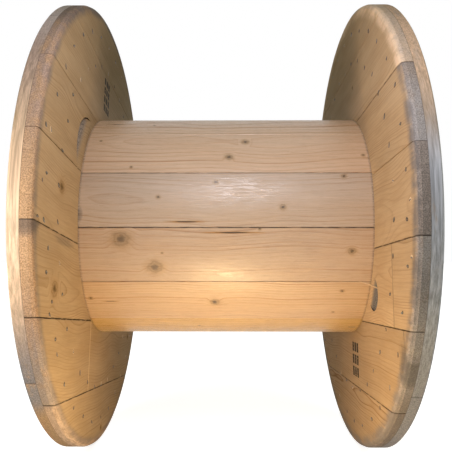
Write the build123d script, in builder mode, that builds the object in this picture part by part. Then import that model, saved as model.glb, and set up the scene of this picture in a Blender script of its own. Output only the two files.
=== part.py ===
from build123d import *

import os
from math import atan2, cos, radians, sin, tan

# Wooden cable drum lying on its rims: two flanges of crossed boards, a barrel of staves
# let into a ring seat in each flange, and tie rods that clamp the flanges to the barrel.
# The drum's axis is X and the origin is on that axis, midway between the flanges.
# Lengths are in millimetres and angles in degrees.

# Flanges
flange_diameter = 1000.0
inner_width = 587.0
flange_board_thickness = 21.0
boards_per_layer = 7
edge_board_width = 130.0
board_gap = 0.6
board_arris = 0.8
rim_edge_round = 8.0
rim_chamfer = 3.0
left_board_angle = -10.6
right_board_angle = -6.9
left_inner_board_drop = 7.0
spindle_bore_diameter = 80.0

# Barrel
barrel_diameter = 506.0
stave_count = 14
stave_thickness = 26.0
stave_gap = 0.5
stave_arris = 0.7
stave_seam_angle = 180.65
seat_depth = 8.0
seat_clearance = 0.3

# Tie rods, with a square washer and a nut on each end
rod_count = 4
rod_diameter = 14.0
rod_to_stave = 46.5
rod_start_angle = 36.6
rod_stick_out = 5.0
rod_hole_clearance = 0.5
washer_width = 50.0
washer_thickness = 4.0
nut_across_flats = 22.0
nut_thickness = 12.8
nut_chamfer = 1.2
nut_bore_clearance = 0.1

# Two inner boards are made up of two lengths: where the butt joint lies, from the rim
left_joint_from_rim = 392.0
right_joint_from_rim = 143.0

# A hollow is gouged in each flange beside the barrel. Its crisp edge is a round cut that
# stands off the barrel, and its floor ramps up from there to the face.
left_gouge_angle = 140.5
left_gouge_reach = 58.0
left_gouge_edge_radius = 85.0
left_gouge_ramp = 52.0
left_gouge_depth = 10.0
right_gouge_angle = 209.2
right_gouge_reach = 58.0
right_gouge_edge_radius = 34.0
right_gouge_ramp = 46.0
right_gouge_depth = 6.0

# Worked out from the sizes above
flange_radius = flange_diameter / 2
flange_thickness = 2 * flange_board_thickness
flange_board_width = (flange_diameter - 2 * edge_board_width) / (boards_per_layer - 2)
middle_board = (boards_per_layer + 1) // 2
barrel_radius = barrel_diameter / 2
stave_inner_flat = barrel_radius - stave_thickness
stave_half_angle = 180 / stave_count
rod_circle_radius = stave_inner_flat - rod_to_stave
outer_face = inner_width / 2 + flange_thickness
rim_edge_middle = rim_edge_round * (1 - cos(radians(45)))
washer_hole = rod_diameter + 2 * rod_hole_clearance
stack_end = outer_face + washer_thickness + nut_thickness

SIDES = {"left": -1, "right": 1}
BOARD_ANGLES = {"left": left_board_angle, "right": right_board_angle}
BOARD_DROPS = {("left", "inner"): left_inner_board_drop}
JOINTS = {
    ("left", 2): flange_radius - left_joint_from_rim,
    ("right", 3): right_joint_from_rim - flange_radius,
}


def flange_plane(side, depth, turn=0):
    """Plane parallel to a flange, that far into it from the inner face: local x runs along
    the inner boards, local y is up across them, local z points out of the drum."""
    sign = SIDES[side]
    tilt = radians(BOARD_ANGLES[side] + sign * turn)
    return Plane(
        origin=(sign * (inner_width / 2 + depth), 0, 0),
        x_dir=(0, sign * cos(tilt), sign * sin(tilt)),
        z_dir=(sign, 0, 0),
    )


def inner_disc(side):
    """Turned shape of a flange's inner layer: bore, ring seat for the staves, and a rim whose
    inner edge is worn round, as two flats."""
    sign = SIDES[side]
    face = sign * inner_width / 2
    seat_floor = face + sign * seat_depth
    back = face + sign * flange_board_thickness
    with BuildPart() as disc:
        with BuildSketch(Plane.XY):
            with BuildLine():
                Polyline(
                    (face, spindle_bore_diameter / 2),
                    (face, stave_inner_flat - seat_clearance),
                    (seat_floor, stave_inner_flat - seat_clearance),
                    (seat_floor, barrel_radius + seat_clearance),
                    (face, barrel_radius + seat_clearance),
                    (face, flange_radius - rim_edge_round),
                    (face + sign * rim_edge_middle, flange_radius - rim_edge_middle),
                    (face + sign * rim_edge_round, flange_radius),
                    (back, flange_radius),
                    (back, spindle_bore_diameter / 2),
                    close=True,
                )
            make_face()
        revolve(axis=Axis.X)
    return disc.part


def outer_disc(side):
    """Turned shape of a flange's outer layer: bore and chamfered rim."""
    sign = SIDES[side]
    front = sign * (inner_width / 2 + flange_board_thickness)
    face = sign * outer_face
    with BuildPart() as disc:
        with BuildSketch(Plane.XY) as section:
            with BuildLine():
                Polyline(
                    (front, spindle_bore_diameter / 2),
                    (front, flange_radius),
                    (face, flange_radius),
                    (face, spindle_bore_diameter / 2),
                    close=True,
                )
            make_face()
            chamfer(section.vertices().sort_by_distance((face, flange_radius, 0))[0], rim_chamfer)
        revolve(axis=Axis.X)
    return disc.part


def gouge(side, angle, reach, edge_radius, ramp, depth):
    """Tool shape of the hollow beside the barrel: a round cutter leaning outwards, so that
    its edge is crisp on the far side and its floor runs up to the face at the barrel."""
    lean = atan2(depth, ramp)
    outwards = Vector(0, cos(radians(angle)), sin(radians(angle)))
    inwards = Vector(-SIDES[side], 0, 0)
    floor_plane = Plane(
        origin=outwards * (barrel_radius + reach - ramp) - inwards * (inner_width / 2),
        x_dir=outwards * cos(lean) - inwards * sin(lean),
        z_dir=inwards * cos(lean) + outwards * sin(lean),
    )
    with BuildPart() as cutter:
        with BuildSketch(floor_plane):
            with Locations((ramp - edge_radius, 0)):
                Circle(edge_radius)
        extrude(amount=3 * depth)
    return cutter.part


def board_strips(side, layer):
    """Each board of a layer as (name, start, end, lower edge, upper edge), counted from the
    lowest. A board with a butt joint comes as two lengths."""
    half_gap = board_gap / 2
    for number in range(1, boards_per_layer + 1):
        middle = (number - middle_board) * flange_board_width - BOARD_DROPS.get((side, layer), 0)
        low = middle - flange_board_width / 2 + half_gap
        high = middle + flange_board_width / 2 - half_gap
        if number == 1:
            low = -flange_radius
        if number == boards_per_layer:
            high = flange_radius
        name = f"{side}_{layer}_board_{number}"
        joint = JOINTS.get((side, number)) if layer == "inner" else None
        if joint is None:
            yield name, -flange_radius, flange_radius, low, high
        else:
            yield name + "a", -flange_radius, joint - half_gap, low, high
            yield name + "b", joint + half_gap, flange_radius, low, high


def make_board(plane, disc, exposed, start, end, low, high, cutter):
    """One flange board: a plank with eased arrises, cut round with its layer and drilled."""
    with BuildPart() as board:
        with BuildSketch(plane):
            with Locations(((start + end) / 2, (low + high) / 2)):
                Rectangle(end - start, high - low)
        extrude(amount=flange_board_thickness)
        chamfer(board.faces().sort_by(Axis.X)[exposed].edges(), board_arris)
        add(disc, mode=Mode.INTERSECT)
        with BuildSketch(Plane.YZ.offset(plane.origin.X)):
            with PolarLocations(rod_circle_radius, rod_count, start_angle=rod_start_angle):
                Circle(rod_diameter / 2 + rod_hole_clearance)
        extrude(amount=flange_board_thickness, both=True, mode=Mode.SUBTRACT)
        if cutter is not None:
            add(cutter, mode=Mode.SUBTRACT)
    return board.part


def make_layer(side, layer, disc, cutter=None):
    """All boards of one layer of a flange, by node name."""
    inner = layer == "inner"
    plane = flange_plane(side, 0 if inner else flange_board_thickness, 0 if inner else 90)
    exposed = -1 if (side == "left") == inner else 0
    return {
        name: make_board(plane, disc, exposed, *strip, cutter)
        for name, *strip in board_strips(side, layer)
    }


def make_stave(number):
    """One barrel stave: bevelled edges, flat inside, planed to the barrel's round outside."""
    middle = radians(stave_seam_angle + (number - 0.5) * 2 * stave_half_angle)
    length = inner_width + 2 * (seat_depth - seat_clearance)
    slope = tan(radians(stave_half_angle))
    half_gap = stave_gap / 2 / cos(radians(stave_half_angle))
    blank_top = barrel_radius + stave_thickness
    inner_half = stave_inner_flat * slope - half_gap
    outer_half = blank_top * slope - half_gap
    end = Plane(origin=(-length / 2, 0, 0), x_dir=(0, cos(middle), sin(middle)), z_dir=(1, 0, 0))
    with BuildPart() as stave:
        with BuildSketch(end):
            Polygon(
                (stave_inner_flat, -inner_half),
                (blank_top, -outer_half),
                (blank_top, outer_half),
                (stave_inner_flat, inner_half),
                align=None,
            )
            Circle(barrel_radius, mode=Mode.INTERSECT)
        extrude(amount=length)
        long_edges = stave.edges().filter_by(Axis.X)
        arrises = long_edges.sort_by(lambda edge: edge.center().Y ** 2 + edge.center().Z ** 2)[-2:]
        chamfer(arrises, stave_arris)
    return stave.part


def make_tie_rod(number):
    """One tie rod, long enough to stick out of the nut at each end."""
    angle = radians(rod_start_angle + number * 360 / rod_count)
    across = (cos(angle) * rod_circle_radius, sin(angle) * rod_circle_radius)
    with BuildPart() as rod:
        with BuildSketch(Plane.YZ):
            with Locations(across):
                Circle(rod_diameter / 2)
        extrude(amount=stack_end + rod_stick_out, both=True)
    return rod.part


def make_washers(side):
    """The square washers on one flange's outer face, each with a square hole."""
    with BuildPart() as washers:
        with BuildSketch(flange_plane(side, flange_thickness)):
            with PolarLocations(rod_circle_radius, rod_count, start_angle=rod_angle_on(side)):
                Rectangle(washer_width, washer_width, rotation=45)
                Rectangle(washer_hole, washer_hole, rotation=45, mode=Mode.SUBTRACT)
        extrude(amount=washer_thickness)
    return washers.part


def make_nuts(side):
    """The hexagon nuts on one flange's washers, with chamfered outer corners."""
    corner_radius = nut_across_flats / 2 / cos(radians(30))
    with BuildPart() as nuts:
        with BuildSketch(flange_plane(side, flange_thickness + washer_thickness)):
            with PolarLocations(rod_circle_radius, rod_count, start_angle=rod_angle_on(side)):
                RegularPolygon(corner_radius, 6)
        extrude(amount=nut_thickness)
        outer = nuts.faces().sort_by(Axis.X)
        tops = outer[-rod_count:] if side == "right" else outer[:rod_count]
        chamfer(tops.edges(), nut_chamfer)
        with BuildSketch(flange_plane(side, flange_thickness + washer_thickness)):
            with PolarLocations(rod_circle_radius, rod_count, start_angle=rod_angle_on(side)):
                Circle(rod_diameter / 2 + nut_bore_clearance)
        extrude(amount=nut_thickness, mode=Mode.SUBTRACT)
    return nuts.part


def rod_angle_on(side):
    """Direction of the first tie rod as seen on that flange's own plane."""
    turned = rod_start_angle - BOARD_ANGLES[side]
    return turned if side == "right" else 180 - turned


left_gouge = gouge(
    "left",
    left_gouge_angle,
    left_gouge_reach,
    left_gouge_edge_radius,
    left_gouge_ramp,
    left_gouge_depth,
)
right_gouge = gouge(
    "right",
    right_gouge_angle,
    right_gouge_reach,
    right_gouge_edge_radius,
    right_gouge_ramp,
    right_gouge_depth,
)

pieces = {}
for flange, cutter in (("left", left_gouge), ("right", right_gouge)):
    pieces.update(make_layer(flange, "inner", inner_disc(flange), cutter))
    pieces.update(make_layer(flange, "outer", outer_disc(flange)))
    pieces[f"{flange}_washers"] = make_washers(flange)
    pieces[f"{flange}_nuts"] = make_nuts(flange)
for index in range(stave_count):
    pieces[f"stave_{index + 1:02d}"] = make_stave(index + 1)
for index in range(rod_count):
    pieces[f"tie_rod_{index + 1}"] = make_tie_rod(index)

os.makedirs("parts", exist_ok=True)
for name, solid in pieces.items():
    solid.label = name
    export_step(solid, f"parts/{name}.step")
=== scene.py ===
# %% [markdown]
# # A wooden cable drum
# The drum is two round flanges of crossed boards with a barrel of staves between them. Its
# solids come from the part's own source, so this script only dresses them: each board gets
# wood of its own, and the nails that hold the boards together are added as small meshes.

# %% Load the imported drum
import math
import random

import bmesh
import bpy
from mathutils import Matrix, Vector


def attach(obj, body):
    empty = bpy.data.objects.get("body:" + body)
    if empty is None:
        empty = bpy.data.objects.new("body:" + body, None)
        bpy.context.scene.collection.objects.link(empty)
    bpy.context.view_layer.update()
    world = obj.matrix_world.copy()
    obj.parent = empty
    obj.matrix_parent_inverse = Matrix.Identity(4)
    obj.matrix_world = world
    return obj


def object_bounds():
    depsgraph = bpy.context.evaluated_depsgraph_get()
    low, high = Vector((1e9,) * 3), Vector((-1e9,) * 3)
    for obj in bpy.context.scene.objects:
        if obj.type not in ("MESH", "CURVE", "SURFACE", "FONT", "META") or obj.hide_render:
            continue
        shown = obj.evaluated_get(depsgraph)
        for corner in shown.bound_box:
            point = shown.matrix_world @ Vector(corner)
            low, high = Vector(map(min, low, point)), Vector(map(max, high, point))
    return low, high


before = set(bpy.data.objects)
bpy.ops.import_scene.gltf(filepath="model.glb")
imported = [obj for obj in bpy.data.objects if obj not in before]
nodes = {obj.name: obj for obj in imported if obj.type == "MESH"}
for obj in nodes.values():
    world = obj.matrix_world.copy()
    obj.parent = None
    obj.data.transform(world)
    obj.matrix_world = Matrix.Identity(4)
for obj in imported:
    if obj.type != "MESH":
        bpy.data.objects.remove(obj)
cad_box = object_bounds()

print(len(nodes), "nodes loaded, box", [[round(n, 3) for n in corner] for corner in cad_box])

# %% [markdown]
# ## The sizes that the finishes need
# A board's grain runs along the board, so each finish has to know where its board lies. These
# are the drum's own sizes in metres, and angles in degrees, as in the part's source. The
# finishes count in millimetres.

# %% Sizes
MM = 1000
FLANGE_RADIUS = 0.5
HALF_WIDTH = 0.2935
BOARD_THICK = 0.021
BOARD_WIDE = 0.148
BARREL_RADIUS = 0.253
STAVES = 14
STAVE_SEAM = 180.65
BOARD_ANGLE = {"left": -10.6, "right": -6.9}
INNER_DROP = {"left": 0.007, "right": 0.0}
SIGN = {"left": -1, "right": 1}
print("flange", 2 * FLANGE_RADIUS, "m, barrel", 2 * BARREL_RADIUS, "m")

# %% [markdown]
# ## Camera
# The photograph looks almost straight at the middle of the barrel, level with the drum's axis
# and from close by, which is why both inner faces show. The lens, the distance and the half
# degree of turn were fitted to the outlines of the flanges and the barrel.

# %% Camera
camera_data = bpy.data.cameras.new("camera")
camera_data.sensor_width = 36.0
camera_data.lens = 43.5
camera = bpy.data.objects.new("camera", camera_data)
camera.location = (0.0093, -1.332, 0.0)
camera.rotation_euler = (math.radians(90), 0, math.radians(0.48))
bpy.context.scene.collection.objects.link(camera)
bpy.context.scene.camera = camera
print("camera", round(-camera.location.y, 3), "m from the axis,", camera_data.lens, "mm lens")

# %% [markdown]
# ## Shader nodes in short lines
# A wood finish needs many small nodes. This helper adds one node per call and gives back its
# output, so that a recipe reads from top to bottom like a sum.

# %% Node helper
class Recipe:
    """Adds nodes to one material. A value is a number, a colour or another node's output."""

    def __init__(self, tree):
        self.tree = tree

    def node(self, kind, values, **settings):
        made = self.tree.nodes.new(kind)
        for key, value in settings.items():
            setattr(made, key, value)
        for key, value in values.items():
            if isinstance(value, bpy.types.NodeSocket):
                self.tree.links.new(value, made.inputs[key])
            elif value is not None:
                made.inputs[key].default_value = value
        return made

    def plug(self, shader, values):
        for key, value in values.items():
            self.tree.links.new(value, shader.inputs[key])

    def place(self):
        return self.node("ShaderNodeTexCoord", {}).outputs["Object"]

    def math(self, operation, a, b=None, c=None):
        return self.node("ShaderNodeMath", {0: a, 1: b, 2: c}, operation=operation).outputs[0]

    def vector_math(self, operation, a, b=None):
        return self.node("ShaderNodeVectorMath", {0: a, 1: b}, operation=operation).outputs

    def dot(self, a, b):
        return self.vector_math("DOT_PRODUCT", a, b)["Value"]

    def length(self, a):
        return self.vector_math("LENGTH", a)["Value"]

    def vector(self, x, y, z):
        return self.node("ShaderNodeCombineXYZ", {0: x, 1: y, 2: z}).outputs[0]

    def grey(self, level):
        return self.node("ShaderNodeCombineColor", {0: level, 1: level, 2: level}).outputs[0]

    def noise(self, vector, detail=2.0, rough=0.5):
        sockets = {"Vector": vector, "Scale": 1.0, "Detail": detail, "Roughness": rough}
        return self.node("ShaderNodeTexNoise", sockets).outputs["Fac"]

    def even_noise(self, scale, detail, rough=0.5):
        """Noise of one scale all ways round."""
        scaled = self.vector_math("MULTIPLY", self.place(), (scale, scale, scale))["Vector"]
        return self.noise(scaled, detail, rough)

    def grain(self, x, y, z, by, detail=2.0, rough=0.5):
        """Noise over a board's own coordinates, each with a scale of its own."""
        scaled = [self.math("MULTIPLY", part, scale) for part, scale in zip((x, y, z), by)]
        return self.noise(self.vector(*scaled), detail, rough)

    def wander(self, along):
        sockets = {"W": along, "Scale": 1.0, "Detail": 1.5}
        return self.node("ShaderNodeTexNoise", sockets, noise_dimensions="1D").outputs

    def chance(self, value):
        made = self.node("ShaderNodeTexWhiteNoise", {"W": value}, noise_dimensions="1D")
        return made.outputs["Value"]

    def smooth(self, value, low, high, out_low=0.0, out_high=1.0):
        sockets = {
            "Value": value, "From Min": low, "From Max": high,
            "To Min": out_low, "To Max": out_high,
        }
        made = self.node("ShaderNodeMapRange", sockets, interpolation_type="SMOOTHSTEP")
        return made.outputs["Result"]

    def blend(self, factor, a, b, how="MIX"):
        sockets = {0: factor, 6: a, 7: b}
        return self.node("ShaderNodeMix", sockets, data_type="RGBA", blend_type=how).outputs[2]

    def ramp(self, value, stops):
        made = self.node("ShaderNodeValToRGB", {0: value})
        points = made.color_ramp.elements
        while len(points) < len(stops):
            points.new(0.5)
        for point, (place, level) in zip(points, stops):
            point.position = place
            point.color = (level, level, level, 1)
        return made.outputs[0]


def fresh_material(name):
    """An empty node material with its Principled shader and a Recipe to fill it."""
    material = bpy.data.materials.new(name)
    material.use_nodes = True
    return material, material.node_tree.nodes["Principled BSDF"], Recipe(material.node_tree)


print("node helper ready")

# %% [markdown]
# ## Softwood
# A board is cut from a log, and the lines on it are the log's yearly rings seen where the saw
# went through. So the finish doesn't draw lines on a face: it works out how far each point is
# from the log's pith, and turns that distance into pale early wood and thin dark late wood.
# The same recipe then gives long grain on a face, arches where the cut is shallow, and rough
# ring arcs on a sawn end. A pith that wanders along the board makes the arches, and each knot
# pushes the rings aside.

# %% Knots, resin and dirt
SMALL_KNOT = 8
KNOT_STAIN = (0.42, 0.26, 0.12, 1)
KNOT_BROWN = (0.24, 0.145, 0.06, 1)
KNOT_HEART = (0.08, 0.045, 0.018, 1)
RESIN_STAIN = (0.36, 0.17, 0.03, 1)
RESIN_DARK = (0.055, 0.026, 0.006, 1)
DIRT_GREY = (0.085, 0.075, 0.07, 1)
STAMP_INK = (0.022, 0.018, 0.012, 1)
BAR_SHARE = 0.76


def round_mark(r, x, y, mx, my, long, wide, ragged):
    """Distance from a mark's middle, 1 at its edge, with an edge as ragged as asked."""
    tears = 3.2
    across = r.vector(
        r.math("MULTIPLY", r.math("SUBTRACT", x, mx), 2 / long),
        r.math("MULTIPLY", r.math("SUBTRACT", y, my), 2 / wide),
        0.0,
    )
    torn = r.noise(r.vector(
        r.math("MULTIPLY", x, tears / long),
        r.math("MULTIPLY", y, tears / wide),
        mx + my,
    ))
    return r.math("MULTIPLY_ADD", torn, ragged, r.math("SUBTRACT", r.length(across), ragged / 2))


def paint_knots(r, x, y, knots, colour):
    """Paints the knots: a faint stain, a brown core with rings of its own and a dark heart."""
    for kx, ky, radius in knots:
        far = round_mark(r, x, y, kx, ky, 2.4 * radius, 2.0 * radius, 0.8)
        colour = r.blend(r.smooth(far, 2.3, 1.2, 0.0, 0.35), colour, KNOT_STAIN)
        wave = r.math("MULTIPLY_ADD", r.math("SINE", r.math("MULTIPLY", far, 15.0)), 0.12, 0.56)
        core = r.math("MULTIPLY", r.smooth(far, 1.45, 0.85), wave)
        colour = r.blend(core, colour, KNOT_BROWN)
        heart = 0.9 if radius < SMALL_KNOT else 0.72
        colour = r.blend(r.smooth(far, 0.7, 0.25, 0.0, heart), colour, KNOT_HEART)
    return colour


def paint_resin(r, x, y, streaks, colour):
    """Paints resin pockets: a dark slit along the grain in an orange stain."""
    for sx, sy, long, wide in streaks:
        far = round_mark(r, x, y, sx, sy, long, wide, 0.8)
        colour = r.blend(r.smooth(far, 1.7, 0.9, 0.0, 0.85), colour, RESIN_STAIN)
        colour = r.blend(r.smooth(far, 0.9, 0.6), colour, RESIN_DARK)
    return colour


def paint_dirt(r, x, y, smudges, colour):
    """Paints soft grey smudges, each as strong as asked."""
    for sx, sy, long, wide, strength in smudges:
        far = round_mark(r, x, y, sx, sy, long, wide, 0.9)
        colour = r.blend(r.smooth(far, 1.15, 0.45, 0.0, strength), colour, DIRT_GREY)
    return colour


def paint_ink(r, x, y, stamp, colour):
    """Prints a worn block of plain ink bars."""
    sx, sy, long, wide, rows = stamp
    inside = 1.0
    for part, middle, size, cuts in ((x, sx, long, 3.0), (y, sy, wide, rows)):
        share = r.math("DIVIDE", r.math("SUBTRACT", part, middle - size / 2), size)
        inside = r.math("MULTIPLY", r.math("GREATER_THAN", share, 0.0), inside)
        inside = r.math("MULTIPLY", r.math("LESS_THAN", share, 1.0), inside)
        bar = r.math("LESS_THAN", r.math("FRACT", r.math("MULTIPLY", share, cuts)), BAR_SHARE)
        inside = r.math("MULTIPLY", bar, inside)
    worn = r.noise(r.vector(r.math("MULTIPLY", x, 0.15), r.math("MULTIPLY", y, 0.15), sx), 4.0, 0.7)
    ink = r.math("MULTIPLY", inside, r.smooth(worn, 0.33, 0.47, 0.2, 0.96))
    return r.blend(ink, colour, STAMP_INK)


print("marks ready")

# %% Rings of a log
LATE_WOOD = [(0.0, 0.2), (0.06, 0.0), (0.58, 0.05), (0.82, 0.45), (0.94, 1.0), (1.0, 0.3)]


def year_rings(r, x, y, z, look):
    """How much late wood there is at each point, from its distance to the log's pith."""
    drift = r.wander(r.math("MULTIPLY", x, 0.0032))["Color"]
    drift = r.node("ShaderNodeSeparateColor", {0: drift}).outputs
    reach = 2 * look["wander"]
    side, deep = (
        r.math("SUBTRACT", part, r.math("MULTIPLY_ADD", sway, reach, pith - reach / 2))
        for part, sway, pith in zip((y, z), drift, look["pith"])
    )
    wobble = r.grain(x, y, z, (0.004, 0.04, 0.04))
    ring = r.math("MULTIPLY_ADD", wobble, 4.0, r.length(r.vector(side, deep, 0.0)))
    for kx, ky, radius in look["knots"]:
        aside = r.math("SUBTRACT", x, kx + look["start"])
        far = r.length(r.vector(aside, r.math("SUBTRACT", y, ky), 0.0))
        near = r.smooth(far, 3.2 * radius, 0.6 * radius)
        ring = r.math("MULTIPLY_ADD", near, radius, ring)
    slow = r.wander(r.math("MULTIPLY", ring, 0.02))["Fac"]
    count = r.math("MULTIPLY_ADD", slow, 5.0, r.math("DIVIDE", ring, look["spacing"]))
    late = r.ramp(r.math("FRACT", count), LATE_WOOD)
    year = r.math("MULTIPLY_ADD", r.chance(r.math("FLOOR", count)), 0.7, 0.3)
    spell = r.wander(r.math("MULTIPLY_ADD", ring, 0.035, look["start"]))["Fac"]
    spell = r.smooth(spell, 0.38, 0.58, 0.22, 1.0)
    return r.math("MULTIPLY", late, r.math("MULTIPLY", year, spell))


print("rings ready")

# %% Weathered rim
RIM_END = 502.0
LAYER_LINE = (20.1, 20.9)
RIM_LINE = (488.0, 493.0)
LAYER_DARK = (0.06, 0.045, 0.035, 1)


def weathered_and_shaded_rim(r, x, y, z, radius, height, end, speck, look, colour):
    """Greys the turned rim: specks on end grain, fine lines on long grain, weathering tones by
    height that are partly painted light, and a band of painted shade along the edge.
    """
    lined = r.grain(x, y, z, (0.006, 0.12, 0.3), 4.0, 0.7)
    blotch = r.grain(x, y, z, (0.012, 0.03, 0.06), 4.0, 0.65)
    grit = r.math("MULTIPLY_ADD", r.math("SUBTRACT", speck, lined), end, lined)
    shade = r.grey(r.smooth(grit, 0.32, 0.68, 1.0 - look["grit"], 1.0 + look["grit"]))
    ragged = r.math("MULTIPLY_ADD", speck, 16.0, r.math("MULTIPLY_ADD", blotch, 10.0, radius))
    on_rim = r.smooth(ragged, look["rim_from"] + 2.0, look["rim_from"] + 13.0)
    # Tones that fade in by height: weathering, and partly painted light that makes the rim paler or
    # darker by height.
    for tone, strength, low, high, (way, *span) in look["rim"]:
        part = r.math("ABSOLUTE", height) if way == "both" else height
        on = r.math("MULTIPLY", on_rim, r.smooth(part, *span))
        on = r.math("MULTIPLY", on, r.smooth(blotch, low, high, 0.35, strength))
        colour = r.blend(on, colour, r.blend(1.0, tone, shade, "MULTIPLY"))
    # A dark band of painted shade along the edge where a face turns into the rim; on two upper
    # right boards the band is pale, partly wear and partly a painted highlight.
    strength, edge_from, edge_to = look["edge"]
    edge = r.smooth(radius, edge_to, edge_to - 5.0)
    edge = r.math("MULTIPLY", r.smooth(ragged, edge_from, RIM_END), edge)
    edge = r.math("MULTIPLY", edge, r.smooth(blotch, 0.35, 0.6, 0.25, strength))
    colour = r.blend(edge, colour, look["edge_shade_and_highlight"])
    between = r.math("MULTIPLY", r.smooth(z, *LAYER_LINE), r.smooth(radius, *RIM_LINE))
    between = r.math("MULTIPLY", between, r.smooth(lined, 0.4, 0.6, 0.2, 0.7))
    return r.blend(between, colour, LAYER_DARK)


print("rim wear ready")

# %% Softwood recipe
SEAM_DARK = (0.04, 0.025, 0.018, 1)
PIT_SHADE = (0.02, 0.018, 0.016, 1)
# Painted shade at each end of a stave, where it meets a flange: its span in mm from the middle, and
# its colour.
STAVE_END = (288.5, 293.0)
STAVE_END_SHADE = (0.06, 0.04, 0.03, 1)


def board_coordinates(r, board):
    """A point's place, and in mm how far along, across and into its board, and off the axis."""
    place = r.place()
    radius = r.length(r.vector_math("MULTIPLY", place, (0.0, MM, MM))["Vector"])
    x = r.dot(place, board["along"] * MM)
    y = r.math("SUBTRACT", r.dot(place, board["across"] * MM), board["middle"] * MM)
    if board["round"]:
        z = r.math("SUBTRACT", BARREL_RADIUS * MM, radius)
    else:
        z = r.math("SUBTRACT", r.dot(place, board["depth"] * MM), board["face"] * MM)
    return place, x, y, z, radius


def bare_wood(r, x, y, z, late, look):
    """Early and late wood under slow clouds and fine fibres: its colour, and the fibres."""
    fine = r.grain(x, y, z, (0.02, 0.8, 0.8), 3.0, 0.6)
    streak = r.grain(x, y, z, (0.006, 0.2, 0.2), 3.0, 0.6)
    cloud = r.grain(x, y, z, (0.007, 0.02, 0.02), 3.0, 0.55)
    fibres = r.math("ADD", fine, streak)
    colour = r.blend(r.math("MULTIPLY", late, look["contrast"]), look["pale"], look["late"])
    colour = r.blend(r.smooth(cloud, 0.35, 0.7, 0.0, 0.6), colour, look["cloud"])
    grain = r.grey(r.math("MULTIPLY_ADD", fibres, 0.3, 0.7))
    return r.blend(1.0, colour, grain, "MULTIPLY"), fibres


def sawn_ends(r, x, radius, normal, late, speck, board, look, colour):
    """End grain, which a flange board shows on its rim only: the colour, and how much of it."""
    end = r.smooth(r.math("ABSOLUTE", r.dot(normal, board["along"])), 0.3, 0.8)
    if not board["round"]:
        on_rim = r.smooth(radius, look["rim_from"] - 5.0, look["rim_from"])
        cut = r.smooth(r.math("DIVIDE", r.math("ABSOLUTE", x), radius), 0.4, 0.8)
        end = r.math("MAXIMUM", end, r.math("MULTIPLY", cut, on_rim))
        end = r.math("MULTIPLY", end, on_rim)
    sawn = r.blend(r.smooth(speck, 0.3, 0.7), look["end_dark"], look["end_pale"])
    sawn = r.blend(r.math("MULTIPLY", late, 0.5), sawn, look["end_dark"])
    return r.blend(end, colour, sawn), end


def paint_seams(r, x, y, look, colour):
    """Dark gaps along both edges of a board, broken where it touches the next one."""
    dashes = r.wander(r.math("MULTIPLY", x, 0.03))["Fac"]
    for edge, strength in zip((-1, 1), look["seams"]):
        to_seam = r.math("MULTIPLY_ADD", y, -edge, look["half"])
        gap = r.smooth(to_seam, 1.5, 0.5, 0.0, strength)
        gap = r.math("MULTIPLY", gap, r.smooth(dashes, 0.36, 0.5, 0.3, 1.0))
        colour = r.blend(gap, colour, SEAM_DARK)
    return colour


def paint_gouge(r, place, z, normal, speck, board, look, colour):
    """Torn wood in a gouge, with painted shade on its cut wall and in its deep pit: the colour, and
    how much is torn.
    """
    dark, pale, torn_from, shade_from = look["torn"]
    near = r.smooth(r.vector_math("DISTANCE", place, look["gouge"])["Value"], 0.1, 0.09)
    near = r.math("MULTIPLY", near, r.smooth(z, 0.3, 0.8))
    deep = r.math("MULTIPLY_ADD", speck, 4.0, z)
    wall = r.smooth(r.math("ABSOLUTE", r.dot(normal, board["depth"])), 0.75, 0.45, 0.0, 7.0)
    torn = r.smooth(r.math("ADD", deep, wall), torn_from, torn_from + 3.0)
    torn = r.math("MULTIPLY", torn, near)
    # Painted shade in the deep pit, and on the cut wall, where one looks into the gouge.
    pit_shade = r.smooth(deep, shade_from, shade_from + 2.5, 0.0, 0.85)
    pit_shade = r.math("MAXIMUM", r.math("MULTIPLY", wall, 0.13), pit_shade)
    shade = r.blend(r.smooth(speck, 0.36, 0.62), dark, pale)
    return r.blend(torn, colour, r.blend(pit_shade, shade, PIT_SHADE)), torn


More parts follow.
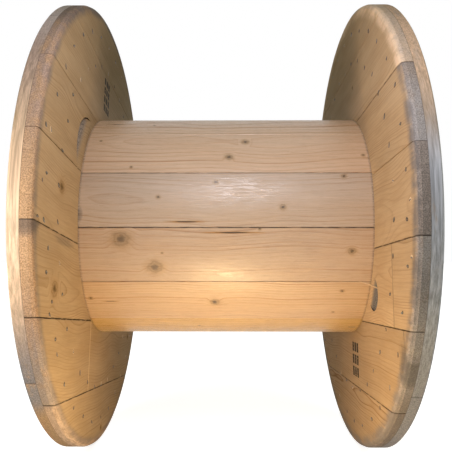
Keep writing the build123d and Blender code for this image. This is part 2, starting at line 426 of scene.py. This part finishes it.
def softwood(name, board, look):
    """One board's wood. board holds its directions and place, look its colours and marks."""
    material, shader, r = fresh_material(name)
    place, x, y, z, radius = board_coordinates(r, board)
    normal = r.node("ShaderNodeNewGeometry", {}).outputs["Normal"]
    own_x = r.math("ADD", x, look["start"])
    speck = r.grain(x, y, z, (0.3, 0.5, 0.5), 4.0, 0.7)
    late = year_rings(r, own_x, y, z, look)

    colour, fibres = bare_wood(r, own_x, y, z, late, look)
    colour = paint_knots(r, x, y, look["knots"], colour)
    colour = paint_resin(r, x, y, look.get("streaks", []), colour)
    if "stamp" in look:
        colour = paint_ink(r, x, y, look["stamp"], colour)
    colour, end = sawn_ends(r, x, radius, normal, late, speck, board, look, colour)
    if not board["round"]:
        height = r.dot(place, (0.0, 0.0, MM))
        colour = weathered_and_shaded_rim(r, own_x, y, z, radius, height, end, speck, look, colour)
    colour = paint_seams(r, own_x, y, look, colour)
    if board["round"]:
        # Painted shade, speckled, on the last few millimetres of each stave end, where it meets a
        # flange.
        end_shade = r.smooth(r.math("ABSOLUTE", x), *STAVE_END, 0.0, 0.6)
        end_shade = r.math("MULTIPLY", end_shade, r.smooth(speck, 0.35, 0.6))
        colour = r.blend(end_shade, colour, STAVE_END_SHADE)
    colour = paint_dirt(r, x, y, look["smudges"], colour)
    if "joint" in look:
        # A line across the board at a butt joint; a pale one is a painted highlight.
        butt, tone, strength = look["joint"]
        to_butt = r.math("ABSOLUTE", r.math("SUBTRACT", x, butt))
        colour = r.blend(r.smooth(to_butt, 2.6, 1.0, 0.0, strength), colour, tone)
    rough_part = end
    if "gouge" in look:
        colour, torn = paint_gouge(r, place, z, normal, speck, board, look, colour)
        rough_part = r.math("MAXIMUM", end, torn)

    spark = r.grain(own_x, y, z, (0.025, 0.6, 1.0), 3.0, 0.7)
    relief = r.math("MULTIPLY", r.math("MULTIPLY_ADD", spark, 0.5, fibres), look["sawn"])
    relief = r.math("MULTIPLY_ADD", late, -0.3, relief)
    relief = r.math("MULTIPLY_ADD", r.math("MULTIPLY", speck, 2.0), rough_part, relief)
    bump = {"Strength": look["bump"], "Distance": 0.0012, "Height": relief}
    bump = r.node("ShaderNodeBump", bump).outputs[0]
    shine = r.smooth(spark, 0.38, 0.62, look["rough"] + look["glints"], look["rough"])
    shine = r.math("MAXIMUM", shine, r.math("MULTIPLY", rough_part, 0.9))
    shader.inputs["Specular IOR Level"].default_value = look["sheen"]
    r.plug(shader, {"Base Color": colour, "Roughness": shine, "Normal": bump})
    return material


print("softwood recipe ready")

# %% [markdown]
# ## Where each board lies
# Inner boards run away from the camera and drop a little, outer boards cross them, and staves
# run from flange to flange. Each gets its three directions and the place of its middle line.

# %% Board directions
def flange_board(side, layer, number):
    angle = math.radians(BOARD_ANGLE[side])
    level = Vector((0, math.cos(angle), math.sin(angle)))
    upright = Vector((0, -math.sin(angle), math.cos(angle)))
    out = Vector((SIGN[side], 0, 0))
    middle = (number - 4) * BOARD_WIDE
    if layer == "inner":
        middle -= INNER_DROP[side]
        face = HALF_WIDTH
        return dict(along=level, across=upright, depth=out, middle=middle, face=face, round=False)
    face = -HALF_WIDTH - 2 * BOARD_THICK
    across = level * -SIGN[side]
    return dict(along=upright, across=across, depth=-out, middle=middle, face=face, round=False)


def stave(number):
    turn = math.radians(STAVE_SEAM + (number - 0.5) * 360 / STAVES)
    radial = Vector((0, math.cos(turn), math.sin(turn)))
    round_way = Vector((0, -math.sin(turn), math.cos(turn)))
    return dict(along=Vector((1, 0, 0)), across=round_way, depth=-radial, middle=0.0, round=True)


runs = flange_board("left", "inner", 1)["along"]
print("first inner board runs along", tuple(round(n, 3) for n in runs))

# %% [markdown]
# ## The staves
# The barrel is planed, pale and a little pink, with small knots. The staves that face the
# camera carry the knots and resin pockets of the photograph, as millimetres along and across
# the stave, and the others get a seeded draw of their own.

# %% Stave finishes
STAVE_KNOTS = {
    13: [(40, -28.7, 6), (6, 16.8, 6), (-265, -32.8, 2.4), (-193, 42.1, 2.2), (282, 11.7, 2.8)],
    14: [(-20, -36.1, 4), (-135, -4.3, 3.2), (113, 16.1, 5), (237, -49.2, 4)],
    1: [(-208, -33.7, 13), (-142, 24, 11.5), (250, -9.8, 6), (-127, -5.5, 2), (67, -53.9, 2.6)],
    2: [(-23, -2.6, 7.5), (-280, -13.8, 3.4), (237, -33.4, 3.2), (226, 29.6, 2.6)],
    3: [(-60, -20, 2.4)],
    12: [(-160, 8, 2.4)],
}
STAVE_RESIN = {
    14: [(-78, 45.2, 60, 3.2)],
    1: [(14, -46.3, 92, 3.2)],
    2: [(-240, -4.5, 30, 2.0)],
    12: [(-245, -1.7, 34, 3.0)],
}
STAVE_DIRT = {14: [(-290, 30, 13, 30, 0.45)], 3: [(279, -10.8, 22, 6, 0.8)]}
STAVE_PITH = {13: (-30, 60), 14: (2, 34), 1: (-80, 40), 2: (70, 45), 3: (20, 80), 12: (-20, 90)}
STAVE_TONE = {
    12: (0.66, 0.46, 0.30), 13: (0.67, 0.465, 0.305), 14: (0.54, 0.405, 0.295),
    1: (0.53, 0.38, 0.265), 2: (0.595, 0.415, 0.263), 3: (0.60, 0.388, 0.155),
}
STAVE_CONTRAST = {12: 1.5, 13: 1.7, 2: 1.4, 3: 1.4}
STAVE_SEAMS = {
    12: (0.4, 0.0), 13: (0.0, 0.35), 14: (0.3, 0.8),
    1: (0.8, 0.2), 2: (0.2, 0.0), 3: (0.0, 0.4),
}
STAVE_HALF = 56.0
STAVE_LATE = (0.62, 0.40, 0.20)
STAVE_CLOUD = (0.93, 0.87, 0.8)


def tinted(tone, share):
    """A colour with a share taken of its red, green and blue."""
    return (*(a * b for a, b in zip(tone, share)), 1)


for number in range(1, STAVES + 1):
    draw = random.Random(100 + number)
    knots = [
        (draw.uniform(-280, 280), draw.uniform(-42, 42), draw.choice((2.4, 4, 6, 8)))
        for _ in range(4)
    ]
    tone = STAVE_TONE.get(number, (0.58, 0.40, 0.265))
    look = dict(
        start=613.0 * number, knots=STAVE_KNOTS.get(number, knots),
        streaks=STAVE_RESIN.get(number, []), smudges=STAVE_DIRT.get(number, []),
        pith=STAVE_PITH.get(number, (draw.uniform(-60, 60), draw.uniform(35, 95))),
        wander=draw.uniform(12, 18), spacing=draw.uniform(5.4, 7.2),
        contrast=STAVE_CONTRAST.get(number, 1.1),
        pale=(*tone, 1), late=tinted(tone, STAVE_LATE), cloud=tinted(tone, STAVE_CLOUD),
        end_dark=(0.20, 0.13, 0.08, 1), end_pale=(0.45, 0.32, 0.2, 1),
        seams=STAVE_SEAMS.get(number, (0.5, 0.5)), half=STAVE_HALF,
        sawn=0.6, bump=0.35, rough=0.24, glints=0.32, sheen=0.65,
    )
    name = f"stave_{number:02d}"
    nodes[name].data.materials.clear()
    nodes[name].data.materials.append(softwood(name + "_wood", stave(number), look))
print(STAVES, "staves finished")

# %% [markdown]
# ## The flange boards
# The flanges are sawn, not planed, and stand in the weather: tan on the faces, grey and rough
# on the rims. The right rim is greyer than the left one. Knots, smudges and stamps are again in
# millimetres along and across a board. Each rim has a list of tones, and a tone comes with its
# strength, the blotches that it keeps to and the heights between which it fades in or out.
# These tones are weathering, and partly painted light: the left outer rim is painted pale at
# middle height and greyer above and below, and the right outer rim darker towards the bottom.
# A dark band of painted shade runs where a face turns into its rim; on two upper right boards
# that band is pale, partly wear and partly a painted highlight.

# %% Flange finishes
FLANGE_KNOTS = {
    ("left", "4"): [(-361, 11, 11)],
    ("left", "3"): [(-368, -24, 13)],
    ("right", "2"): [(-408, 4, 9)],
}
FLANGE_PITH = {
    ("left", "3"): (-16, 34), ("right", "4"): (-30, 75),
    ("right", "3b"): (20, 28), ("right", "1"): (60, 22),
}
FLANGE_DIRT = {
    ("left", "3"): [(-484, 74, 62, 56, 0.65), (-330, 64, 130, 16, 0.35)],
    ("right", "2"): [(-409, 66, 4, 26, 0.8), (-404, 8, 46, 120, 0.55)],
    ("right", "3b"): [(-474, 0, 30, 150, 0.2)],
    ("right", "3a"): [(-474, 0, 30, 150, 0.2)],
}
INK_STAMPS = {("left", "6"): (-54, 22, 56, 88, 4), ("right", "2"): (-49, -12, 62, 82, 3)}
# Lines across a board where two lengths butt: the left one is pale, a painted highlight on a proud
# edge; the right one is a dark joint.
BUTT_JOINT_LINES_AND_HIGHLIGHTS = {
    ("left", 2): (-108, (0.74, 0.55, 0.33, 1), 0.6),
    ("right", 3): (-357, (0.14, 0.1, 0.06, 1), 0.5),
}
INNER_SEAMS = {
    "left": (0.8, 1.0, 0.9, 0.4, 0.15, 0.15),
    "right": (0.55, 0.65, 0.7, 0.1, 0.5, 0.1),
}
GOUGES = {"left": (-HALF_WIDTH, -0.222, 0.183), "right": (HALF_WIDTH, -0.25, -0.14)}
END_TONES = {
    "left": ((0.34, 0.19, 0.083, 1), (0.80, 0.49, 0.26, 1)),
    "right": ((0.18, 0.135, 0.105, 1), (0.51, 0.40, 0.31, 1)),
    ("right", "inner", "4"): ((0.135, 0.10, 0.08, 1), (0.53, 0.405, 0.315, 1)),
    ("right", "inner", "6"): ((0.30, 0.20, 0.125, 1), (0.66, 0.47, 0.31, 1)),
    ("right", "inner", "7"): ((0.36, 0.23, 0.13, 1), (0.72, 0.50, 0.31, 1)),
}
BOARD_TONE = {
    ("right", "inner", "1"): 0.8, ("right", "inner", "2"): 0.77, ("right", "inner", "3a"): 0.93,
    ("left", "inner", "1"): 0.92, ("left", "inner", "2a"): 0.92,
    ("left", "inner", "2b"): 0.92, ("left", "inner", "3"): 0.96,
}
BOARD_CONTRAST = {
    ("right", "inner", "1"): 1.6, ("right", "inner", "2"): 1.2, ("left", "inner", "1"): 1.2,
}
BOARD_HALF = 73.7
BOARD_LATE = (0.53, 0.43, 0.31)
BOARD_CLOUD = (0.82, 0.78, 0.72)
# The tone of the band along the rim's edge: dark painted shade, and on two upper right boards pale,
# partly wear and partly a painted highlight.
EDGE_SHADE_AND_HIGHLIGHT = {
    "left": (0.19, 0.155, 0.13, 1), "right": (0.205, 0.178, 0.165, 1),
    ("right", "inner", "6"): (0.90, 0.66, 0.45, 1), ("right", "inner", "7"): (0.92, 0.67, 0.44, 1),
}
RIM_GRIT = {"left": 0.32, "right": 0.35}
RIM_EDGE = {"left": (0.6, 489.0, 499.0), "right": (0.85, 481.0, 502.0)}
RIM_FROM = {"left": 494.5, "right": 497.5}
FACE_TONE = {"left": (0.475, 0.335, 0.19), "right": (0.545, 0.375, 0.22)}
# Each gouge's torn wood: its dark and pale tones, the depth where the tearing starts, and the depth
# where painted shade in the pit starts.
TORN_WOOD = {
    "left": ((0.12, 0.11, 0.105, 1), (0.42, 0.35, 0.29, 1), 4.0, 9.0),
    "right": ((0.075, 0.07, 0.07, 1), (0.24, 0.22, 0.205, 1), 1.4, 6.6),
}
GREY_WOOD = (0.40, 0.285, 0.23, 1)
SILVER_WOOD = (0.58, 0.585, 0.62, 1)
BLUISH_WOOD = (0.54, 0.49, 0.465, 1)
SLATE_WOOD = (0.278, 0.27, 0.295, 1)
CREAM_WOOD = (0.77, 0.53, 0.335, 1)
DOVE_WOOD = (0.37, 0.315, 0.285, 1)
BROWN_WOOD = (0.43, 0.285, 0.165, 1)
TAN_WOOD = (0.70, 0.465, 0.29, 1)
ASH_WOOD = (0.58, 0.475, 0.42, 1)
SMOKE_WOOD = (0.20, 0.155, 0.125, 1)
ALL_HEIGHTS = ("up", -500, 500, 1, 1)
# Rim tones by height: weathering, and partly painted light. The left outer rim is painted pale
# cream at middle height and grey above and below; the right outer rim gets darker towards the
# bottom.
RIM_WEAR_AND_SHADE = {
    ("left", "inner"): [
        (GREY_WOOD, 0.85, 0.35, 0.6, ("both", 40, 260, 0.1, 1.0)),
        (SMOKE_WOOD, 0.75, 0.3, 0.55, ("up", 330, 420, 0.0, 1.0)),
        (DOVE_WOOD, 0.75, 0.25, 0.5, ("up", -130, -230, 0.0, 1.0)),
        (TAN_WOOD, 0.45, 0.25, 0.5, ("up", -300, -325, 0.0, 1.0)),
    ],
    ("left", "outer"): [
        (CREAM_WOOD, 0.9, 0.3, 0.5, ("both", 0, 500, 1.0, 0.5)),
        (GREY_WOOD, 0.9, 0.25, 0.5, ("up", 110, 330, 0.0, 1.0)),
        (SLATE_WOOD, 0.95, 0.25, 0.5, ("up", -90, -260, 0.0, 1.0)),
        (ASH_WOOD, 0.9, 0.2, 0.45, ("up", 290, 400, 0.0, 1.0)),
        (BROWN_WOOD, 0.9, 0.2, 0.45, ("up", -295, -345, 0.0, 1.0)),
    ],
    ("right", "inner"): [
        (BLUISH_WOOD, 0.85, 0.3, 0.55, ("up", 180, 280, 1.0, 0.15)),
        (SMOKE_WOOD, 0.85, 0.25, 0.5, ("up", -220, -340, 0.0, 1.0)),
    ],
    ("right", "outer"): [
        (SILVER_WOOD, 0.97, 0.2, 0.4, ("up", 80, 200, 1.0, 0.25)),
        (SLATE_WOOD, 0.85, 0.2, 0.45, ("up", -130, -320, 0.0, 1.0)),
        (TAN_WOOD, 0.85, 0.3, 0.5, ("up", 150, 290, 0.0, 1.0)),
    ],
}

for name, node in nodes.items():
    if "_board_" not in name:
        continue
    side, layer, _, number = name.split("_")
    board = (side, layer, number)
    index = int(number.rstrip("ab"))
    inner = layer == "inner"
    draw = random.Random(name)
    knots = FLANGE_KNOTS.get((side, number), []) if inner else []
    knots = knots + [(draw.uniform(-150, 420), draw.uniform(-55, 55), draw.choice((4, 6, 8)))]
    away = draw.choice((-1, 1)) * draw.uniform(50, 110)
    pith = (away, draw.uniform(30, 70))
    seams = (0.0, *INNER_SEAMS[side], 0.0) if inner else (0.3,) * 8
    darker = draw.uniform(0.97, 1.03) * BOARD_TONE.get(board, 1.0)
    tone = [c * darker for c in FACE_TONE[side]]
    end_dark, end_pale = END_TONES.get(board, END_TONES[side])
    rim = RIM_WEAR_AND_SHADE[side, layer]
    if board in END_TONES:
        rim = [(rim[0][0], 0.2, 0.3, 0.6, ALL_HEIGHTS)]
    look = dict(
        start=draw.uniform(500, 9000), knots=knots,
        pith=FLANGE_PITH.get((side, number), pith) if inner else pith,
        wander=draw.uniform(12, 20), spacing=draw.uniform(4.0, 5.6),
        contrast=BOARD_CONTRAST.get(board, 0.95),
        pale=(*tone, 1), late=tinted(tone, BOARD_LATE), cloud=tinted(tone, BOARD_CLOUD),
        end_dark=end_dark, end_pale=end_pale,
        rim=rim, grit=RIM_GRIT[side], rim_from=RIM_FROM[side],
        edge=RIM_EDGE[side] if inner else (0.0, *RIM_EDGE[side][1:]),
        edge_shade_and_highlight=EDGE_SHADE_AND_HIGHLIGHT.get(board, EDGE_SHADE_AND_HIGHLIGHT[side]),
        seams=seams[index - 1:index + 1], half=BOARD_HALF,
        smudges=FLANGE_DIRT.get((side, number), []) if inner else [],
        sawn=0.7, bump=0.4, rough=0.6, glints=0.3, sheen=0.03,
    )
    if inner:
        look.update(gouge=GOUGES[side], torn=TORN_WOOD[side])
        if (side, index) in BUTT_JOINT_LINES_AND_HIGHLIGHTS:
            look["joint"] = BUTT_JOINT_LINES_AND_HIGHLIGHTS[side, index]
        if (side, number) in INK_STAMPS:
            look["stamp"] = INK_STAMPS[side, number]
    node.data.materials.clear()
    node.data.materials.append(softwood(name + "_wood", flange_board(side, layer, index), look))
print(sum("_board_" in name for name in nodes), "flange boards finished")

# %% [markdown]
# ## Steel
# The tie rods, nuts and washers are dull zinc with spots of rust where water stands.

# %% Fastener steel
ZINC_DARK = (0.36, 0.36, 0.35)
ZINC_PALE = (0.5, 0.5, 0.49)
RUST = (0.19, 0.085, 0.035, 1)


def dull_steel(name, rust, bright):
    """Zinc plating with more or less rust, and as bright as asked."""
    material, shader, r = fresh_material(name)
    fine = r.even_noise(900.0, 3.0)
    patch = r.even_noise(140.0, 5.0, 0.65)
    spots = r.smooth(patch, 0.62 - rust, 0.78 - rust)
    zinc = r.blend(fine, tinted(ZINC_DARK, (bright,) * 3), tinted(ZINC_PALE, (bright,) * 3))
    bump = r.node("ShaderNodeBump", {"Strength": 0.25, "Distance": 0.0004, "Height": patch})
    r.plug(shader, {
        "Base Color": r.blend(spots, zinc, RUST),
        "Metallic": r.math("SUBTRACT", 0.95, spots),
        "Roughness": r.math("MULTIPLY_ADD", spots, 0.25, 0.6),
        "Normal": bump.outputs[0],
    })
    return material


fastener_steel = dull_steel("fastener_steel", 0.08, 0.62)
for name, node in nodes.items():
    if name.startswith("tie_rod") or name.endswith(("_nuts", "_washers")):
        node.data.materials.clear()
        node.data.materials.append(fastener_steel)
print("fasteners finished")

# %% [markdown]
# ## Nails
# The two layers of a flange are nailed in two rings, an even turn apart. The heads lie on the
# outer face, and the points come through the inner face and are clinched: bent over and
# hammered flat. A clinched point is a short tapered wire in a bruise of dark wood, partly
# painted shade of the nail's hole. Some points, more of them on the far side, lie in pale torn
# wood instead, partly a painted glint. Each ring is one shape repeated, so it keeps few faces.

# %% Nail shapes
NAIL_RINGS = {"left": (0.375, 0.447), "right": (0.380, 0.454)}
NAILS_PER_RING = 35
FIRST_NAIL = {"left": 138.2, "right": 137.1}
ODD_NAILS = {
    "left": [
        (0.471, 158.8), (0.460, 170.9), (0.477, 177.7),
        (0.430, 184.4), (0.429, 197.5), (0.436, 206.0),
    ],
    "right": [(0.467, 174.4), (0.481, 185.8)],
}
NAIL_WIRE = dict(cap_ends=True, segments=8, radius1=0.0017, radius2=0.0009)
NAIL_HEAD = dict(cap_ends=True, segments=14, radius1=0.0036, radius2=0.0032, depth=0.0012)
HEAD_PROUD = 0.0002
LENS_THICK = 0.0004


def nail_places(side):
    """Each nail of a flange as its distance from the axis and its direction."""
    for ring in NAIL_RINGS[side]:
        for index in range(NAILS_PER_RING):
            yield ring, math.radians(FIRST_NAIL[side] + index * 360 / NAILS_PER_RING)
    for ring, turn in ODD_NAILS[side]:
        yield ring, math.radians(turn)


def finished_piece(name, shape, materials):
    """Turns a bmesh into a piece of the drum, at the origin, riding on its one body."""
    mesh = bpy.data.meshes.new(name)
    shape.to_mesh(mesh)
    shape.free()
    for material in materials:
        mesh.materials.append(material)
    piece = bpy.data.objects.new(name, mesh)
    bpy.context.scene.collection.objects.link(piece)
    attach(piece, "root")


def clinched_points(side):
    """The bent-over nail points on one inner face, each in a dark bruise, partly painted shade of
    the nail's hole, unless it is pale torn wood, partly a painted glint.
    """
    draw = random.Random(side)
    shape = bmesh.new()
    for ring, turn in nail_places(side):
        ring += draw.uniform(-0.005, 0.005)
        turn += draw.uniform(-0.010, 0.010)
        face = Vector((SIGN[side] * HALF_WIDTH, ring * math.cos(turn), ring * math.sin(turn)))
        lean = draw.choice((0.3, 1.3)) + draw.gauss(0, 0.4)
        lie = Matrix.Translation(face) @ Matrix.Rotation(lean, 4, "X")
        long = draw.uniform(0.006, 0.009)
        wire = bmesh.ops.create_cone(shape, depth=long, **NAIL_WIRE)["verts"]
        flat = Matrix.Diagonal((0.6, 1.0, 1.0, 1.0))
        bmesh.ops.transform(shape, matrix=lie @ flat, verts=wire)
        # A flat lens on the face: a dark bruise, partly painted shade of the nail's hole, unless it
        # is pale.
        shade_and_glint_lens = bmesh.ops.create_uvsphere(shape, u_segments=10, v_segments=6, radius=1.0)["verts"]
        wide, tall = draw.uniform(0.0026, 0.0046), long * draw.uniform(0.5, 0.8)
        size = Matrix.Diagonal((LENS_THICK, wide, tall, 1.0))
        aside, along = draw.uniform(-0.0015, 0.0015), draw.uniform(-0.002, 0.002)
        beside = Matrix.Translation((0, aside, along))
        bmesh.ops.transform(shape, matrix=lie @ beside @ size, verts=shade_and_glint_lens)
        # Pale torn wood, partly a painted glint, is far more common on the far side of the face.
        pale = draw.random() < (0.65 if face.y > -0.1 else 0.15)
        for part in {part for vert in shade_and_glint_lens for part in vert.link_faces}:
            part.material_index = 2 if pale else 1
    return shape


def nail_heads(side):
    """The flat nail heads on one outer face, a little sunk."""
    shape = bmesh.new()
    outer = SIGN[side] * (HALF_WIDTH + 2 * BOARD_THICK + HEAD_PROUD)
    stand = Matrix.Rotation(SIGN[side] * math.pi / 2, 4, "Y")
    for ring, turn in nail_places(side):
        head = bmesh.ops.create_cone(shape, **NAIL_HEAD)["verts"]
        face = Vector((outer, ring * math.cos(turn), ring * math.sin(turn)))
        bmesh.ops.transform(shape, matrix=Matrix.Translation(face) @ stand, verts=head)
    return shape


for side in SIGN:
    print(side, "flange:", sum(1 for _ in nail_places(side)), "nails")

# %% Nails in place
def stained(name, dark, pale):
    """Two tones in small stains: for dark bruises, partly painted shade of nail holes, and for pale
    torn wood, partly a painted glint by the nails.
    """
    material, shader, r = fresh_material(name)
    stain = r.even_noise(300.0, 3.0)
    rough = r.math("MULTIPLY_ADD", stain, 0.3, 0.6)
    r.plug(shader, {"Base Color": r.blend(stain, dark, pale), "Roughness": rough})
    return material


nail_steel = dull_steel("nail_steel", 0.16, 0.55)
# The dark bruise is partly painted shade of a nail's hole.
bruise_and_hole_shade = stained("bruise_and_hole_shade", (0.02, 0.016, 0.014, 1), (0.13, 0.09, 0.06, 1))
# Pale torn wood for the splinter, and by the nails partly a painted glint.
torn_fibres_and_glints = stained("torn_fibres_and_glints", (0.52, 0.36, 0.2, 1), (0.85, 0.66, 0.45, 1))
clinched = [nail_steel, bruise_and_hole_shade, torn_fibres_and_glints]
for side in SIGN:
    finished_piece(f"{side}_clinched_nails", clinched_points(side), clinched)
    finished_piece(f"{side}_nail_heads", nail_heads(side), [nail_steel])
print("nails in place")

# %% [markdown]
# ## Splinter
# A pale splinter stands out of the torn place on the right flange, where the wood was ripped.
# It is one thin tapered sliver, bent once, with its root in the flange.

# %% Splinter
root = Vector((0.2975, -0.267, -0.1218))
bend = Vector((0.276, -0.2705, -0.1125))
tip = Vector((0.2576, -0.272, -0.1074))
sliver = bmesh.new()
for start, stop, thick, thin in ((root, bend, 0.0014, 0.0011), (bend, tip, 0.0011, 0.0003)):
    way = stop - start
    part = bmesh.ops.create_cone(
        sliver, cap_ends=True, segments=6, radius1=thick, radius2=thin, depth=way.length,
    )
    turn = way.to_track_quat("Z", "Y").to_matrix().to_4x4()
    middle = Matrix.Translation((start + stop) / 2)
    bmesh.ops.transform(sliver, matrix=middle @ turn, verts=part["verts"])
finished_piece("right_splinter", sliver, [torn_fibres_and_glints])
print("splinter in place")

# %% [markdown]
# ## Floor and light
# The drum lies on its rims on a plain pale floor. The photograph has a neutral light from above
# the camera, a second one from the left, and a warm one from low between the flanges. All come
# from close by, so the light falls off over the faces. The background is white to the camera
# and in reflections only.

# %% Floor
FLOOR_HALF = 6.0
WHITE = (1, 1, 1, 1)


def flat_sheet(name, place, paint):
    """A flat square from -1 to 1, stretched and placed by a matrix."""
    shape = bmesh.new()
    bmesh.ops.create_grid(shape, x_segments=1, y_segments=1, size=1.0, matrix=place)
    mesh = bpy.data.meshes.new(name)
    shape.to_mesh(mesh)
    shape.free()
    mesh.materials.append(paint)
    sheet = bpy.data.objects.new(name, mesh)
    bpy.context.scene.collection.objects.link(sheet)
    return sheet


def background_rays(r):
    """1 for rays that show the background to the camera or in gloss, 0 for rays of light."""
    path = r.node("ShaderNodeLightPath", {}).outputs
    gloss = r.math("MAXIMUM", path["Is Glossy Ray"], path["Is Transmission Ray"])
    return r.math("MAXIMUM", path["Is Camera Ray"], gloss)


floor_paint, shader, r = fresh_material("floor_paint")
shader.inputs["Base Color"].default_value = (0.55, 0.55, 0.55, 1)
shader.inputs["Roughness"].default_value = 0.9
near_white = r.smooth(r.length(r.place()), 0.6, 1.3, 0.84, 1.0)
strength = r.math("MULTIPLY", background_rays(r), near_white)
glow = r.node("ShaderNodeEmission", {"Color": WHITE, "Strength": strength}).outputs[0]
both = r.node("ShaderNodeAddShader", {0: shader.outputs[0], 1: glow}).outputs[0]
r.plug(r.tree.nodes["Material Output"], {"Surface": both})
under = Matrix.Translation((0, 0, cad_box[0][2]))
floor = flat_sheet("floor", under @ Matrix.Diagonal((FLOOR_HALF, FLOOR_HALF, 1, 1)), floor_paint)
print("floor at", round(cad_box[0][2], 4))

# %% [markdown]
# ## Lamps and a shade card
# The far side of each flange lies in shade in the photograph. A studio gets that with a
# small card on a stand, hung in the lamp's way, and so does this scene: the card keeps the top
# lamp off the far side. The lamp is wide, so the edge of the shade is soft. Darker paint on the
# far side would look the same from here, but wrong in every other view. The card shows up
# neither to the camera nor in the wood. A flat lamp far behind the drum and one beside each
# flange light the sides that the photograph doesn't show.

# %% Shade card
CARD_HALF = (0.205, 0.075)
card_paint, shader, _ = fresh_material("card_paint")
shader.inputs["Base Color"].default_value = (0.02, 0.02, 0.02, 1)
upright = Matrix.Translation((0.018, -0.25, 0.40)) @ Matrix.Rotation(math.pi / 2, 4, "X")
card = flat_sheet("shade_card", upright @ Matrix.Diagonal((*CARD_HALF, 1, 1)), card_paint)
card.visible_camera = False
card.visible_glossy = False
card.visible_diffuse = False
print("shade card", 2 * CARD_HALF[0], "m wide")

# %% Lights
def hang_lamp(name, kind, spot, watts, colour, turn=(0, 0, 0), **size):
    """A lamp of one kind, colour and size, hung at a spot and turned."""
    lamp = bpy.data.lights.new(name, kind)
    lamp.energy = watts
    lamp.color = colour
    for key, value in size.items():
        setattr(lamp, key, value)
    held = bpy.data.objects.new(name, lamp)
    held.location = spot
    held.rotation_euler = turn
    held.visible_camera = False
    bpy.context.scene.collection.objects.link(held)


COOL, COOLER, WARM = (0.97, 0.95, 1.0), (0.95, 0.92, 1.0), (1.0, 0.74, 0.39)
hang_lamp("key_lamp", "POINT", (0.025, -0.74, 0.45), 9.7, COOLER, shadow_soft_size=0.12)
hang_lamp("side_lamp", "POINT", (-0.456, -0.68, -0.024), 3.6, COOL, shadow_soft_size=0.1)
hang_lamp("low_lamp", "POINT", (0.0, -0.487, -0.425), 5.1, WARM, shadow_soft_size=0.06)
forward = (-math.pi / 2, 0, 0)
hang_lamp("back_lamp", "AREA", (0.0, 8.0, 0.6), 230.0, (1.0, 1.0, 0.98), forward, size=1.2)
for side, sign in SIGN.items():
    inward = (0, sign * math.pi / 2, 0)
    spot = (1.5 * sign, 0.0, 0.2)
    hang_lamp(f"{side}_lamp", "AREA", spot, 10.0, (1.0, 0.98, 0.95), inward, size=0.6)

FILL_LIGHT = (0.098, 0.126, 0.085, 1)
world = bpy.data.worlds.new("studio")
world.use_nodes = True
bpy.context.scene.world = world
r = Recipe(world.node_tree)
sky = r.blend(background_rays(r), FILL_LIGHT, WHITE)
r.plug(world.node_tree.nodes["Background"], {"Color": sky})
bpy.context.scene.view_settings.view_transform = "Standard"
print("three lamps for the photograph's side, three for the others")
